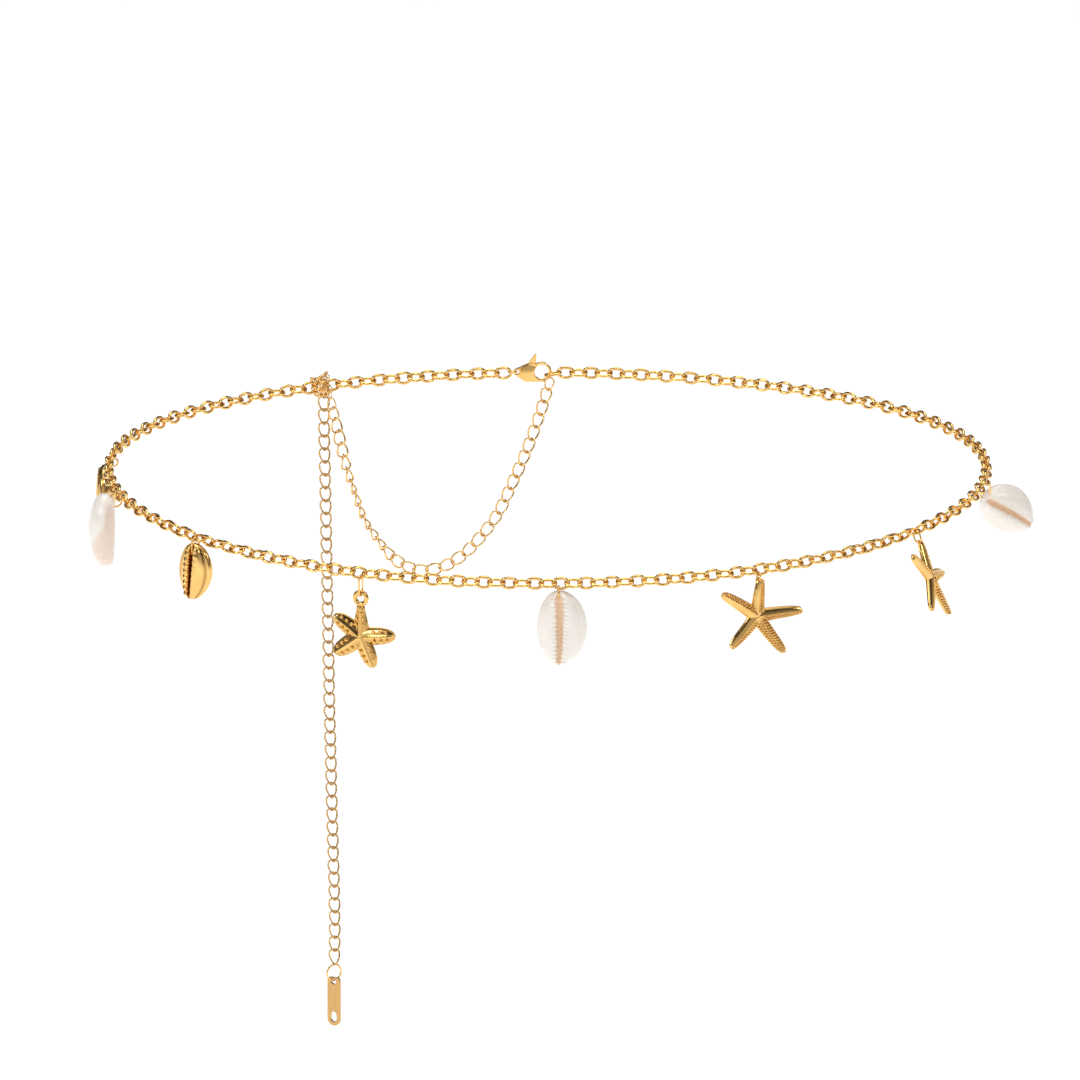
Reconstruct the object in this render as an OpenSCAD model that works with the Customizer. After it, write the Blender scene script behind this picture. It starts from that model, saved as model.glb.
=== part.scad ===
// Waist chain: an oval-link loop with a lobster clasp at the back, eight charms
// and a long fine extender that is thrown over the loop and ends in a tag.
// The origin is the middle of the loop, +Z is up and the clasp lies at +Y.

/* [Loop] */
// Width of the loop from side to side, between the middles of the links
loop_w = 278; // [262:1:292]
// Depth of the loop from front to back, between the middles of the links
loop_d = 228; // [216:1:240]
// Height by which the two sides of the loop ride above its front and back
side_rise = 2.8; // [0:0.1:4]

/* [Main chain] */
// Outer length of a link
link_len = 6; // [5.9:0.05:6.3]
// Outer width of a link
link_w = 4.3; // [4.2:0.05:4.5]
// Thickness of the link wire
link_wire = 0.9; // [0.8:0.02:0.94]
// Clearance between two links that pull on each other
link_gap = 0.15; // [0.13:0.01:0.2]
// Angle by which every second link leans out of the level
link_lean = 20; // [0:1:25]
// Angle by which single links are turned to and fro
link_jitter = 5; // [0:1:6]

/* [Clasp] */
// Place of the middle of the hook, left of the middle of the back
hook_offset = 1.9; // [1:0.1:3]
// Radius of the hook, to the middle of its wire
hook_r = 2.8; // [2.7:0.05:3]
// Thickness of the hook wire
hook_wire = 1.05; // [0.95:0.05:1.15]
// Distance from the middle of the hook to the eye at the tail
tail_len = 7.75; // [7.4:0.05:8.2]
// Radius of the eye at the tail
tail_eye_r = 0.7; // [0.65:0.05:0.75]
// Thickness of the clasp body
clasp_t = 2.2; // [2.1:0.05:2.6]
// Thickness of the lever
lever_t = 0.8; // [0.7:0.05:0.9]
// Clearance on each side of the lever
lever_gap = 0.1; // [0.08:0.01:0.15]
// Radius of the lever's pin
pin_r = 0.4; // [0.35:0.01:0.45]
// Running clearance round the pin
pin_clear = 0.03; // [0.02:0.01:0.05]
// Reach of the lever's arm from the pin to its tip
lever_reach = 4.6; // [4.4:0.05:4.7]
// Height of the thumb spur above the pin
spur_h = 4.5; // [3.5:0.1:5]
// Radius of the round jump ring at the tail, to the middle of its wire
tail_ring_r = 1.35; // [1.3:0.02:1.45]
// Thickness of that ring's wire
tail_ring_wire = 0.6; // [0.5:0.02:0.64]
// Thickness of the clasp's tail round its eye
tail_t = 1.1; // [1:0.05:1.2]

/* [Extender] */
// Outer width of the fine chain
fine_w = 4; // [3.4:0.1:4.2]
// Share of that width where the chain lies flat over the loop
fine_flat = 0.5; // [0.4:0.05:0.6]
// Radius of the tag's jump ring, to the middle of its wire
tag_ring_r = 2.6; // [2.4:0.05:2.8]
// Thickness of that ring's wire
tag_ring_wire = 0.6; // [0.5:0.05:0.7]
// Length of the tag
tag_len = 16.3; // [15:0.1:18]
// Width of the tag
tag_w = 4.6; // [4.3:0.1:5]
// Thickness of the tag
tag_t = 0.9; // [0.7:0.05:1.1]
// Width of the oval window near the tag's foot
window_w = 2.2; // [1.8:0.1:2.6]
// Length of that window
window_len = 3.3; // [3:0.1:4]
// Radius of the small hole that the tag hangs by
tag_hole_r = 0.9; // [0.85:0.05:1]

/* [Shells] */
// Length of the front white shell
white_len = 24.4; // [22:0.1:26]
// Width of the front white shell
white_w = 15.8; // [14:0.1:17]
// Thickness of the white shells
white_t = 8; // [7:0.1:9]
// Length of the left white shell
left_len = 23.8; // [22:0.1:25]
// Length of the right white shell
right_len = 21.2; // [20:0.1:23]
// Width of the right white shell
right_w = 14.8; // [13:0.1:15.4]
// Length of the gold shells
gold_len = 18.8; // [17:0.1:20]
// Width of the gold shells
gold_w = 12.5; // [11:0.1:13.5]
// Thickness of the gold shells
gold_t = 6; // [5.5:0.1:6.5]

/* [Starfish] */
// Distance from the eye to the middle of the beaded starfish
beaded_drop = 12.4; // [12:0.1:13]
// Reach of the beaded starfish's free arms
beaded_reach = 11.6; // [10.5:0.1:12.5]
// Width of its arms at the root
beaded_arm_w = 6; // [5:0.1:6.5]
// Thickness of the beaded starfish at its middle
beaded_t = 3.2; // [2.6:0.1:3.6]
// Distance from the eye to the middle of a slender starfish
slender_drop = 11.5; // [11:0.1:12.5]
// Reach of a slender starfish's longest arm
slender_reach = 16; // [14:0.1:17]
// Width of its arms at the root
slender_arm_w = 4; // [3.4:0.1:4.4]
// Thickness of a slender starfish at its middle
slender_t = 2.4; // [2:0.1:2.8]

/* [Charm rings] */
// Thickness of the wire of the charms' rings
ring_wire = 0.6; // [0.5:0.02:0.66]
// Clearance where a ring hangs in a link or a charm hangs in a ring
hang_gap = 0.1; // [0.08:0.01:0.14]
// Clearance round a ring where it runs through a shell
ring_way = 0.15; // [0.1:0.01:0.2]

/* [Hidden] */
$fn = 72;
gold = [0.93, 0.74, 0.36];
dull_gold = [0.82, 0.66, 0.3];
shell_white = [0.97, 0.94, 0.9];

// Plan of the loop: the angle t runs from the clasp round by the right
half_w = loop_w / 2;
half_d = loop_d / 2;
function loop_at(t) = [half_w * sin(t), half_d * cos(t), side_rise * pow(abs(sin(t)), 3)];
function loop_speed(t) = norm([half_w * cos(t), half_d * sin(t)]) * PI / 180;
function turn_out(t) = atan2(half_d * sin(t), -half_w * cos(t));

// The two ends of the chain are where the clasp's hook and tail ring reach
bow_r = (link_w - link_wire) / 2;
link_half = (link_len - link_wire) / 2;
taut_pitch = link_len - 2 * link_wire - link_gap;
hook_z = 0.2;
end_tilt = 11;
tail_ring_in = 0.12;
end_lift = link_half * sin(end_tilt);
hook_reach = hook_r - hook_wire / 2 - link_wire / 2 - link_gap;
end_link_x = -hook_offset + sqrt(pow(hook_reach, 2) - pow(hook_z + 2 * end_lift, 2)) + link_half * cos(end_tilt);
start_x = end_link_x + taut_pitch;
tail_x = -hook_offset - tail_len;
tail_ring_x = tail_x - tail_eye_r + tail_ring_wire / 2 + hang_gap - sqrt(pow(tail_ring_r, 2) - pow(tail_t / 2 + tail_ring_in, 2));
finish_x = tail_ring_x - tail_ring_r + (tail_ring_wire + link_wire) / 2 + link_gap - link_half;
start_t = asin(start_x / half_w);
finish_t = 360 + asin(finish_x / half_w);

// The links share out the length between those ends, an even number of steps
arc_steps = 720;
arc_step = (finish_t - start_t) / arc_steps;
arc_parts = [for (i = [0:arc_steps - 1]) loop_speed(start_t + (i + 0.5) * arc_step) * arc_step];
function total(list) = [for (v = list) 1] * list;
loop_len = total(arc_parts);
link_steps = 2 * round(loop_len / taut_pitch / 2);
pitch = loop_len / link_steps;
function next_t(t) = t + pitch / loop_speed(t + pitch / loop_speed(t) / 2);
LINK_T = [for (i = 0, t = start_t; i <= link_steps; t = next_t(t), i = i + 1) t];
front_link = round(link_steps / 2);
jitter_step = 137.5;
function jitter(i) = link_jitter * sin(jitter_step * i);
function link_roll(i) = jitter(i) + (i % 2 == 0 ? 0 : 90 - link_lean * cos(LINK_T[i]));

// Where each charm hangs: share of the chain from the clasp's hook, whether
// that link stands upright (0) or lies flat (1), radius of the charm's ring and
// its straight run, its slide along the link, the swing of the ring and the
// lean of the charm outwards, and the charm's turn and tilt
SHARE = 0;
FLAT = 1;
RING_R = 2;
RUN = 3;
SLIDE = 4;
SWING = 5;
LEAN = 6;
TURN = 7;
TILT = 8;
FRONT_SHELL = [0.5, 0, 2.1, 0, -0.7, 0, 0, 0, 0];
LEFT_SHELL = [0.729, 0, 2.1, 0, 0, 42, 0, 165, 0];
RIGHT_SHELL = [0.26, 0, 1.5, 3.7, 0, 0, 0, -53, -57];
FRONT_GOLD = [0.661, 1, 1.5, 2.7, 0, 0, 0, 10, 5];
LEFT_GOLD = [0.781, 0, 1.5, 0, 0, 0, 0, 0, 0];
BEADED = [0.583, 0, 1.5, 3.7, 0.7, 0, 0, 0, 0];
SLENDER = [0.417, 0, 1.3, 0, -0.7, 0, 0, 0, 3];
SLENDER_SIDE = [0.333, 1, 1.3, 1.2, -0.5, 22, 22, 26, 3];
function link_of(spot) = 2 * round(link_steps * spot[SHARE] / 2) + spot[FLAT];

// Middle of a ring's upper bend. It hangs on the wire of its link: an upright
// link's lower side, or a flat link's outer side
function arm_of(i) = let (a = link_roll(i), s = i % 2 == 0 ? -1 : 1) [0, -s * bow_r * sin(a), s * bow_r * cos(a)];
function ring_middle(spot) = let (hang = spot[RING_R] - ring_wire / 2 - link_wire / 2 - hang_gap)
    arm_of(link_of(spot)) + [spot[SLIDE], -hang * sin(spot[SWING]), -hang * cos(spot[SWING])];

// Outline of a cowrie down its length: share of length from the top, share of
// width, share of thickness, openness of the slit
SHELL_ROWS = [
    [0, 0.13, 0.16, 0.9], [0.015, 0.24, 0.28, 0.9], [0.045, 0.4, 0.42, 0.9], [0.09, 0.56, 0.56, 0.8],
    [0.15, 0.71, 0.7, 0.6], [0.21, 0.82, 0.8, 0.75], [0.27, 0.9, 0.88, 0.6], [0.33, 0.95, 0.94, 0.75],
    [0.39, 0.985, 0.98, 0.6], [0.45, 1, 1, 0.75], [0.51, 0.99, 1, 0.6], [0.57, 0.96, 0.98, 0.75],
    [0.63, 0.91, 0.94, 0.6], [0.69, 0.84, 0.88, 0.75], [0.75, 0.75, 0.8, 0.6], [0.81, 0.64, 0.7, 0.7],
    [0.87, 0.5, 0.58, 0.7], [0.93, 0.36, 0.44, 0.8], [0.975, 0.23, 0.3, 0.8], [1, 0.12, 0.16, 0.8],
];
// Base of a cowrie from its left edge to its right: share of the half width
// and share of the base's height, with the slit between the two lips
SHELL_BASE = [[-0.86, 0.45], [-0.52, 0.92], [-0.2, 0.98], [-0.09, 0.7], [-0.05, -0.5],
    [0.05, -0.5], [0.09, 0.7], [0.2, 0.98], [0.56, 0.92], [0.88, 0.45]];
shell_left = 0.43;
shell_base = 0.36;
dome_steps = 10;

// Arms of the starfish: direction, share of the reach and sideways bend as a
// share of the reach; the first arm points up to the eye
BEADED_ARMS = [[90, 0.87, 0], [145, 0.94, 0.04], [219, 0.97, -0.05], [291, 0.95, 0.05], [364, 1.02, 0.04]];
SLENDER_ARMS = [[88, 0.67, -0.02], [145, 0.93, 0.05], [232, 0.82, -0.06], [306, 1, 0.05], [365, 0.98, -0.04]];
// Share of an arm's length, of its width and of its height
BEADED_ROWS = [[0.28, 0.98, 0.86], [0.45, 0.97, 0.8], [0.62, 0.92, 0.74], [0.78, 0.8, 0.68],
    [0.9, 0.58, 0.6], [0.97, 0.34, 0.52], [1, 0.14, 0.46]];
SLENDER_ROWS = [[0.2, 1, 0.95], [0.38, 0.96, 0.9], [0.56, 0.92, 0.86], [0.74, 0.84, 0.8],
    [0.88, 0.7, 0.72], [0.96, 0.5, 0.62], [1, 0.26, 0.54]];
beaded_eye_r = 1.75;
beaded_eye_wire = 1.2;
slender_eye_r = 0.85;
slender_eye_wire = 0.6;
notch_share = 0.93;

// Route of the extender, one point for each ring of its tube, and the share
// of its width there; it is thrown over the loop between the two lists
SWAG_ROUTE = [
    [0.9, 112.2, -1.5, 0.3], [0.4, 112.2, -3.6, 0.4], [-0.3, 112.4, -6, 1], [-2, 112.5, -12, 1],
    [-4.7, 112, -20, 1], [-7.8, 111, -28, 1], [-11.5, 110.5, -36.5, 1], [-15.5, 109, -45, 1],
    [-20.5, 108, -52, 1], [-26.5, 106, -58, 1], [-33.5, 104.5, -62, 1], [-41.5, 102.5, -62.5, 1],
    [-48.5, 100.5, -58.5, 1], [-54, 99, -51.5, 1], [-58.5, 98, -44, 1], [-61.2, 97, -36, 1],
    [-63.8, 96.2, -27.5, 1], [-65.8, 95.3, -19, 1], [-67.5, 94.4, -11, 1], [-68.8, 94, -5, 0.8],
    [-69.6, 94.2, -0.5, fine_flat], [-70, 94.6, 2.4, fine_flat], [-70.4, 95.8, 4.2, fine_flat],
    [-70.6, 97.2, 4.2, fine_flat],
];
DROP_ROUTE = [
    [-70.6, 97.4, 4.2, fine_flat], [-70.8, 98.8, 4.2, fine_flat], [-71, 100.4, 3.4, fine_flat],
    [-71.3, 101.6, 1.2, fine_flat], [-71.4, 102.2, -2, fine_flat], [-71.4, 102.4, -7, 1],
    [-71.3, 102.4, -17, 1], [-71.1, 102.4, -28, 1], [-70.9, 102.4, -40, 1], [-70.7, 102.4, -52, 1],
    [-70.5, 102.4, -64, 1], [-70.3, 102.4, -76, 1], [-70.1, 102.4, -88, 1], [-69.9, 102.4, -100, 1],
    [-69.7, 102.4, -112, 1], [-69.4, 102.4, -124, 1], [-69.2, 102.4, -136, 1], [-68.9, 102.4, -148, 1],
    [-68.6, 102.4, -160, 1], [-68.3, 102.4, -172, 1], [-68.2, 102.4, -183, 1], [-68.3, 102.4, -191, 0.9],
    [-68.4, 102.4, -194.3, fine_flat],
];
fine_sides = 8;

// A stadium of round wire in the XZ plane, its length along X
module oval_link(len, width, wire) {
    r = (width - wire) / 2;
    run = len - width;
    for (side = [0, 180])
        rotate([90, side, 0]) {
            translate([run / 2, 0, 0])
                rotate([0, 0, -90])
                    rotate_extrude(angle = 180)
                        translate([r, 0])
                            circle(d = wire);
            translate([-run / 2, r, 0])
                rotate([0, 90, 0])
                    cylinder(h = run, d = wire);
        }
}

// A round ring of wire in the XZ plane
module round_ring(r, wire) {
    rotate([90, 0, 0])
        rotate_extrude()
            translate([r, 0])
                circle(d = wire);
}

// Puts its children at a link: X along the chain, -Y outwards
module at_link(i) {
    translate(loop_at(LINK_T[i]))
        rotate([0, 0, turn_out(LINK_T[i])])
            children();
}

module chain_run(first, last) {
    for (i = [first:last])
        at_link(i)
            rotate([link_roll(i), 0, 0])
                oval_link(link_len, link_w, link_wire);
}

module main_chain_right() {
    color(gold) chain_run(0, front_link - 1);
}

module main_chain_left() {
    color(gold) chain_run(front_link, link_steps);
}

// The last link, held by the hook, leans down to it
module end_link() {
    color(gold)
        translate([end_link_x, half_d, -end_lift])
            rotate([0, -end_tilt, 0])
                rotate([90 - link_lean / 4, 0, 0])
                    oval_link(link_len, link_w, link_wire);
}

// The clasp stands in the XZ plane about the middle of its hook
pin_at = [-2.9, 1.75];
pin_boss_r = 1.5;
tail_boss_r = 1.25;
belly_at = [-4.9, -1.75];
belly_r = 1.35;
hole_r = hook_r - hook_wire / 2;
slot_w = lever_t + 2 * lever_gap;
tail_ring_tilt = 12;
tip_gap = 0.1;

module at_clasp() {
    translate([-hook_offset, half_d, hook_z])
        children();
}

// A disc in the XZ plane, centred on Y
module disc(at, r, t) {
    translate([at[0], 0, at[1]])
        rotate([90, 0, 0])
            cylinder(h = t, r = r, center = true);
}

module clasp_outline() {
    hull() {
        translate(pin_at) circle(r = pin_boss_r, $fn = 32);
        translate(belly_at) circle(r = belly_r, $fn = 32);
        translate([-tail_len, 0]) circle(r = tail_boss_r, $fn = 32);
    }
    hull() {
        translate(pin_at) circle(r = pin_boss_r, $fn = 32);
        translate(belly_at) circle(r = belly_r, $fn = 32);
        translate([-hook_r, -0.6]) circle(r = 0.8, $fn = 32);
        translate([-1.5, -hook_r + 0.2]) circle(r = 0.6, $fn = 32);
    }
}

module clasp_body() {
    color(gold)
        at_clasp() {
            difference() {
                union() {
                    rotate([90, 0, 0])
                        linear_extrude(height = clasp_t, center = true)
                            clasp_outline();
                    rotate([90, 0, 0])
                        rotate([0, 0, -125])
                            rotate_extrude(angle = 190)
                                translate([hook_r, 0])
                                    circle(d = hook_wire);
                }
                disc([0, 0], hole_r, clasp_t + 1);
                disc([-tail_len, 0], tail_eye_r, clasp_t + 1);
                for (side = [-1, 1])
                    translate([-tail_len - tail_boss_r - 1, side * (tail_t + clasp_t) / 2 - clasp_t / 2, -3])
                        cube([2 * tail_boss_r + 1, clasp_t, 6]);
                translate([-tail_len + tail_boss_r + 0.45, -slot_w / 2, -0.9])
                    cube([tail_len, slot_w, 6]);
                translate([0, -clasp_t, 0])
                    intersection() {
                        translate([0, 0, pin_at[1] - 1])
                            cube([hook_r * 2, 2 * clasp_t, hook_r * 2]);
                        translate([pin_at[0], clasp_t, pin_at[1]])
                            rotate([90, 0, 0])
                                cylinder(h = 2 * clasp_t + 1, r = lever_reach + tip_gap, center = true);
                    }
            }
            disc(pin_at, pin_r, clasp_t - 0.2);
        }
}

// The lever: a boss on the pin, an arm along the top of the ring and a spur
module clasp_lever() {
    arm_in = hole_r + 0.15;
    arm_out = hook_r + hook_wire / 2;
    spur = [
        [pin_at[0] - 1.15, pin_at[1] + 0.6], [pin_at[0] - 1.2, pin_at[1] + 1.5],
        [pin_at[0] + 0.95, pin_at[1] + spur_h], [pin_at[0] + 1.35, pin_at[1] + spur_h * 0.78],
        [pin_at[0] + 1.1, pin_at[1] + 1.2], [pin_at[0] + 1.2, pin_at[1]],
    ];
    color(gold)
        at_clasp()
            difference() {
                union() {
                    disc(pin_at, pin_boss_r - 0.35, lever_t);
                    intersection() {
                        rotate([90, 0, 0])
                            rotate([0, 0, 30])
                                rotate_extrude(angle = 118)
                                    translate([arm_in, -lever_t / 2])
                                        square([arm_out - arm_in, lever_t]);
                        disc(pin_at, lever_reach, lever_t + 1);
                    }
                    rotate([90, 0, 0])
                        linear_extrude(height = lever_t, center = true)
                            polygon(spur);
                }
                disc(pin_at, pin_r + pin_clear, lever_t + 1);
            }
}

module clasp_ring() {
    color(gold)
        translate([tail_ring_x, half_d - tail_ring_in, hook_z])
            rotate([90 - tail_ring_tilt, 0, 0])
                round_ring(tail_ring_r, tail_ring_wire);
}

// A tube through the route's points; each ring's first spoke is carried on
// from the last one, so that the sides don't twist
function unit(v) = v / norm(v);
function place(row) = [row[0], row[1], row[2]];
function heading(route, i) = unit(place(route[min(i + 1, len(route) - 1)]) - place(route[max(i - 1, 0)]));
function square_to(v, d) = unit(v - (v * d) * d);
module tube(route) {
    last = len(route) - 1;
    spokes = [for (i = 0, s = square_to([0, 1, 0], heading(route, 0)); i <= last;
        s = i < last ? square_to(s, heading(route, i + 1)) : s, i = i + 1) s];
    rings = [for (i = [0:last]) let (s = spokes[i], d = heading(route, i), c = cross(d, s))
        for (k = [0:fine_sides - 1]) place(route[i])
            + fine_w / 2 * route[i][3] * (s * cos(360 * k / fine_sides) + c * sin(360 * k / fine_sides))];
    sides = [for (i = [0:last - 1], k = [0:fine_sides - 1]) let (n = (k + 1) % fine_sides)
        [i * fine_sides + k, (i + 1) * fine_sides + k, (i + 1) * fine_sides + n, i * fine_sides + n]];
    polyhedron(
        points = rings,
        faces = concat(
            [[for (k = [0:fine_sides - 1]) k]],
            [[for (k = [fine_sides - 1:-1:0]) last * fine_sides + k]],
            [for (q = sides) each [[q[0], q[1], q[2]], [q[0], q[2], q[3]]]]));
}

module extender_swag() {
    color(gold) tube(SWAG_ROUTE);
}

module extender_drop() {
    color(gold) tube(DROP_ROUTE);
}

// The tag hangs by its small hole from the ring at the extender's foot
tag_ring_gap = 0.3;
tag_ring_turn = 32;
tag_turn = -30;
drop_foot = DROP_ROUTE[len(DROP_ROUTE) - 1];
tag_ring_z = drop_foot[2] - tag_ring_gap - tag_ring_r - tag_ring_wire / 2;
tag_slack = 0.25;
tag_hole_z = tag_ring_z - tag_ring_r + tag_ring_wire / 2 + tag_slack - tag_hole_r;
tag_rim = 0.5;
tag_corner = 1.2;
window_rise = 0.7;

module tag_ring() {
    color(gold)
        translate([drop_foot[0], drop_foot[1], tag_ring_z])
            rotate([0, 0, tag_ring_turn])
                round_ring(tag_ring_r, tag_ring_wire);
}

module tag_plate() {
    head = tag_hole_r + tag_rim;
    foot = tag_len - head - tag_w / 2;
    color(dull_gold)
        translate([drop_foot[0], drop_foot[1], tag_hole_z])
            rotate([0, 0, tag_turn])
                rotate([90, 0, 0])
                    linear_extrude(height = tag_t, center = true)
                        difference() {
                            union() {
                                hull()
                                    for (side = [-1, 1])
                                        translate([side * (tag_w / 2 - tag_corner), head - tag_corner])
                                            circle(r = tag_corner);
                                translate([-tag_w / 2, -foot]) square([tag_w, foot + head - tag_corner]);
                                translate([0, -foot]) circle(d = tag_w);
                            }
                            circle(r = tag_hole_r);
                            hull()
                                for (side = [-1, 1])
                                    translate([0, window_rise - foot + side * (window_len - window_w) / 2])
                                        circle(d = window_w);
                        }
}

// A closed skin through rows of points, with a fan at each end
module skin(rows) {
    n = len(rows[0]);
    last = len(rows) - 1;
    top = (last + 1) * n;
    polyhedron(
        points = concat([for (row = rows) each row], [total_point(rows[0]) / n, total_point(rows[last]) / n]),
        faces = [
            for (i = [0:last - 1], k = [0:n - 1]) let (m = (k + 1) % n)
                each [[i * n + k, i * n + m, (i + 1) * n + m], [i * n + k, (i + 1) * n + m, (i + 1) * n + k]],
            for (k = [0:n - 1]) let (m = (k + 1) % n)
                each [[top, m, k], [top + 1, last * n + k, last * n + m]],
        ]);
}
function total_point(row) = [for (p = row) 1] * row;

// A cowrie that hangs down from its top, its slit at X = 0 and its base to -Y
module cowrie(len, width, thick) {
    base = shell_base * thick;
    dome = thick - base;
    rows = [for (row = SHELL_ROWS) let (w = row[1] * width, up = row[2], left = -shell_left * w,
            right = (1 - shell_left) * w, mid = (left + right) / 2)
        concat(
            [for (k = [0:dome_steps]) let (a = 180 * k / dome_steps)
                [mid + w / 2 * cos(a), up * dome * sin(a), -row[0] * len]],
            [for (b = SHELL_BASE) let (lip = abs(b[0]) < 0.15 ? min(row[3] * width * 0.8, w) : w)
                [b[0] * lip / 2 + (abs(b[0]) > 0.3 ? mid : 0), -b[1] * up * base, -row[0] * len]])];
    skin(rows);
}

// A charm's ring, square to the chain, and the way that it takes through a shell
module charm_ring(spot, wire) {
    width = 2 * spot[RING_R] + wire;
    at_link(link_of(spot))
        translate(ring_middle(spot))
            rotate([-spot[LEAN], 0, 0])
                if (spot[RUN] > 0)
                    translate([0, 0, -spot[RUN] / 2])
                        rotate([0, 90, 90])
                            oval_link(width + spot[RUN], width, wire);
                else
                    rotate([0, 0, 90])
                        round_ring(spot[RING_R], wire);
}

// Puts its children at the lowest bend of a charm's ring
module hung(spot, out, up) {
    at_link(link_of(spot))
        translate(ring_middle(spot))
            rotate([-spot[LEAN], 0, 0])
                translate([0, -out, up - spot[RING_R] - spot[RUN]])
                    rotate([0, 0, spot[TURN]])
                        rotate([0, spot[TILT], 0])
                            children();
}

module shell_on_ring(spot, out, up) {
    difference() {
        hung(spot, out, up) children();
        charm_ring(spot, ring_wire + 2 * ring_way);
    }
}

module white_shell_front() {
    color(shell_white) shell_on_ring(FRONT_SHELL, 0, 2.7) cowrie(white_len, white_w, white_t);
}

module white_shell_left() {
    color(shell_white) shell_on_ring(LEFT_SHELL, 3.8, 4.6) cowrie(left_len, white_w, white_t);
}

module white_shell_right() {
    color(shell_white) shell_on_ring(RIGHT_SHELL, -1, 0.5) cowrie(right_len, right_w, white_t);
}

module gold_shell_front() {
    color(gold) shell_on_ring(FRONT_GOLD, 0.2, 4) cowrie(gold_len, gold_w, gold_t);
}

module gold_shell_left() {
    color(gold) shell_on_ring(LEFT_GOLD, 2.6, 0.5) cowrie(gold_len, gold_w, gold_t);
}

// A starfish about its middle in the XZ plane, ridged to -Y and flat behind
module starfish(arms, rows, reach, arm_w, thick) {
    n = len(arms);
    k_last = len(rows) - 1;
    per = 5 * (k_last + 1) + 2;
    back = 0.3 * thick;
    rim = 0.12 * thick;
    crest = thick - back;
    valley_r = arm_w * 0.72;
    function middle(a, u) = reach * a[1] * (u * [cos(a[0]), sin(a[0])] + a[2] * u * u * [-sin(a[0]), cos(a[0])]);
    function across(a, u) = unit([-sin(a[0]), cos(a[0])] - 2 * a[2] * u * [cos(a[0]), sin(a[0])]);
    function lay(p, y) = [p[0], y, p[1]];
    function gap_after(i) = (arms[(i + 1) % n][0] - arms[i % n][0] + 720) % 360;
    function flank(i, row, gap) = min(arm_w / 2 * row[1], notch_share * reach * arms[i][1] * row[0] * tan(gap / 2));
    points = concat(
        [[0, -crest, 0], [0, back, 0]],
        [for (i = [0:n - 1]) let (a = arms[i], gap = gap_after(i), before = gap_after(i + n - 1),
                v = valley_r * [cos(a[0] + gap / 2), sin(a[0] + gap / 2)])
            each concat(
                [for (row = rows) let (m = middle(a, row[0]), s = across(a, row[0]),
                        left = s * flank(i, row, gap), right = s * flank(i, row, before))
                    each [lay(m + left, back * row[2]), lay(m + left, -rim), lay(m, -crest * row[2]),
                        lay(m - right, -rim), lay(m - right, back * row[2])]],
                [lay(v, -rim * 2), lay(v, back)])]);
    function at(i, k, j) = 2 + (i % n) * per + 5 * k + j;
    function valley(i, j) = 2 + (i % n) * per + 5 * (k_last + 1) + j;
    polyhedron(points = points, faces = concat(
        [for (i = [0:n - 1], k = [0:k_last - 1], j = [0:4]) let (m = (j + 1) % 5)
            each [[at(i, k, j), at(i, k + 1, m), at(i, k, m)], [at(i, k, j), at(i, k + 1, j), at(i, k + 1, m)]]],
        [for (i = [0:n - 1]) each [
            [for (j = [4:-1:0]) at(i, k_last, j)],
            [0, at(i, 0, 2), at(i, 0, 3)], [0, at(i, 0, 1), at(i, 0, 2)],
            [0, valley(i, 0), at(i, 0, 1)], [0, at(i + 1, 0, 3), valley(i, 0)],
            [valley(i, 0), valley(i, 1), at(i, 0, 0)], [valley(i, 0), at(i, 0, 0), at(i, 0, 1)],
            [valley(i, 0), at(i + 1, 0, 3), at(i + 1, 0, 4)], [valley(i, 0), at(i + 1, 0, 4), valley(i, 1)],
            [1, at(i, 0, 4), at(i, 0, 0)], [1, at(i, 0, 0), valley(i, 1)], [1, valley(i, 1), at(i + 1, 0, 4)],
        ]]));
}

// A starfish with its eye; the eye hangs on the ring's lowest bend
module hung_starfish(spot, drop, eye_r, eye_wire) {
    hung(spot, 0, ring_wire / 2 + hang_gap - eye_r + eye_wire / 2) {
        round_ring(eye_r, eye_wire);
        translate([0, 0, -drop]) children();
    }
}

module starfish_beaded() {
    color(gold)
        hung_starfish(BEADED, beaded_drop, beaded_eye_r, beaded_eye_wire)
            starfish(BEADED_ARMS, BEADED_ROWS, beaded_reach, beaded_arm_w, beaded_t);
}

module starfish_slender() {
    color(gold)
        hung_starfish(SLENDER, slender_drop, slender_eye_r, slender_eye_wire)
            starfish(SLENDER_ARMS, SLENDER_ROWS, slender_reach, slender_arm_w, slender_t);
}

module starfish_slender_side() {
    color(gold)
        hung_starfish(SLENDER_SIDE, slender_drop, slender_eye_r, slender_eye_wire)
            starfish(SLENDER_ARMS, SLENDER_ROWS, slender_reach, slender_arm_w, slender_t);
}

module ring_white_front() {
    color(gold) charm_ring(FRONT_SHELL, ring_wire);
}

module ring_white_left() {
    color(gold) charm_ring(LEFT_SHELL, ring_wire);
}

module ring_white_right() {
    color(gold) charm_ring(RIGHT_SHELL, ring_wire);
}

module ring_gold_front() {
    color(gold) charm_ring(FRONT_GOLD, ring_wire);
}

module ring_gold_left() {
    color(gold) charm_ring(LEFT_GOLD, ring_wire);
}

module ring_beaded() {
    color(gold) charm_ring(BEADED, ring_wire);
}

module ring_slender() {
    color(gold) charm_ring(SLENDER, ring_wire);
}

module ring_slender_side() {
    color(gold) charm_ring(SLENDER_SIDE, ring_wire);
}

main_chain_right();
main_chain_left();
end_link();
clasp_body();
clasp_lever();
clasp_ring();
extender_swag();
extender_drop();
tag_ring();
tag_plate();
white_shell_front();
white_shell_left();
white_shell_right();
gold_shell_front();
gold_shell_left();
starfish_beaded();
starfish_slender();
starfish_slender_side();
ring_white_front();
ring_white_left();
ring_white_right();
ring_gold_front();
ring_gold_left();
ring_beaded();
ring_slender();
ring_slender_side();
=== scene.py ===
"""Waist chain: a gold cable chain, its clasp, a fine extender with a tag, cowries and starfish."""
import math

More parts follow.
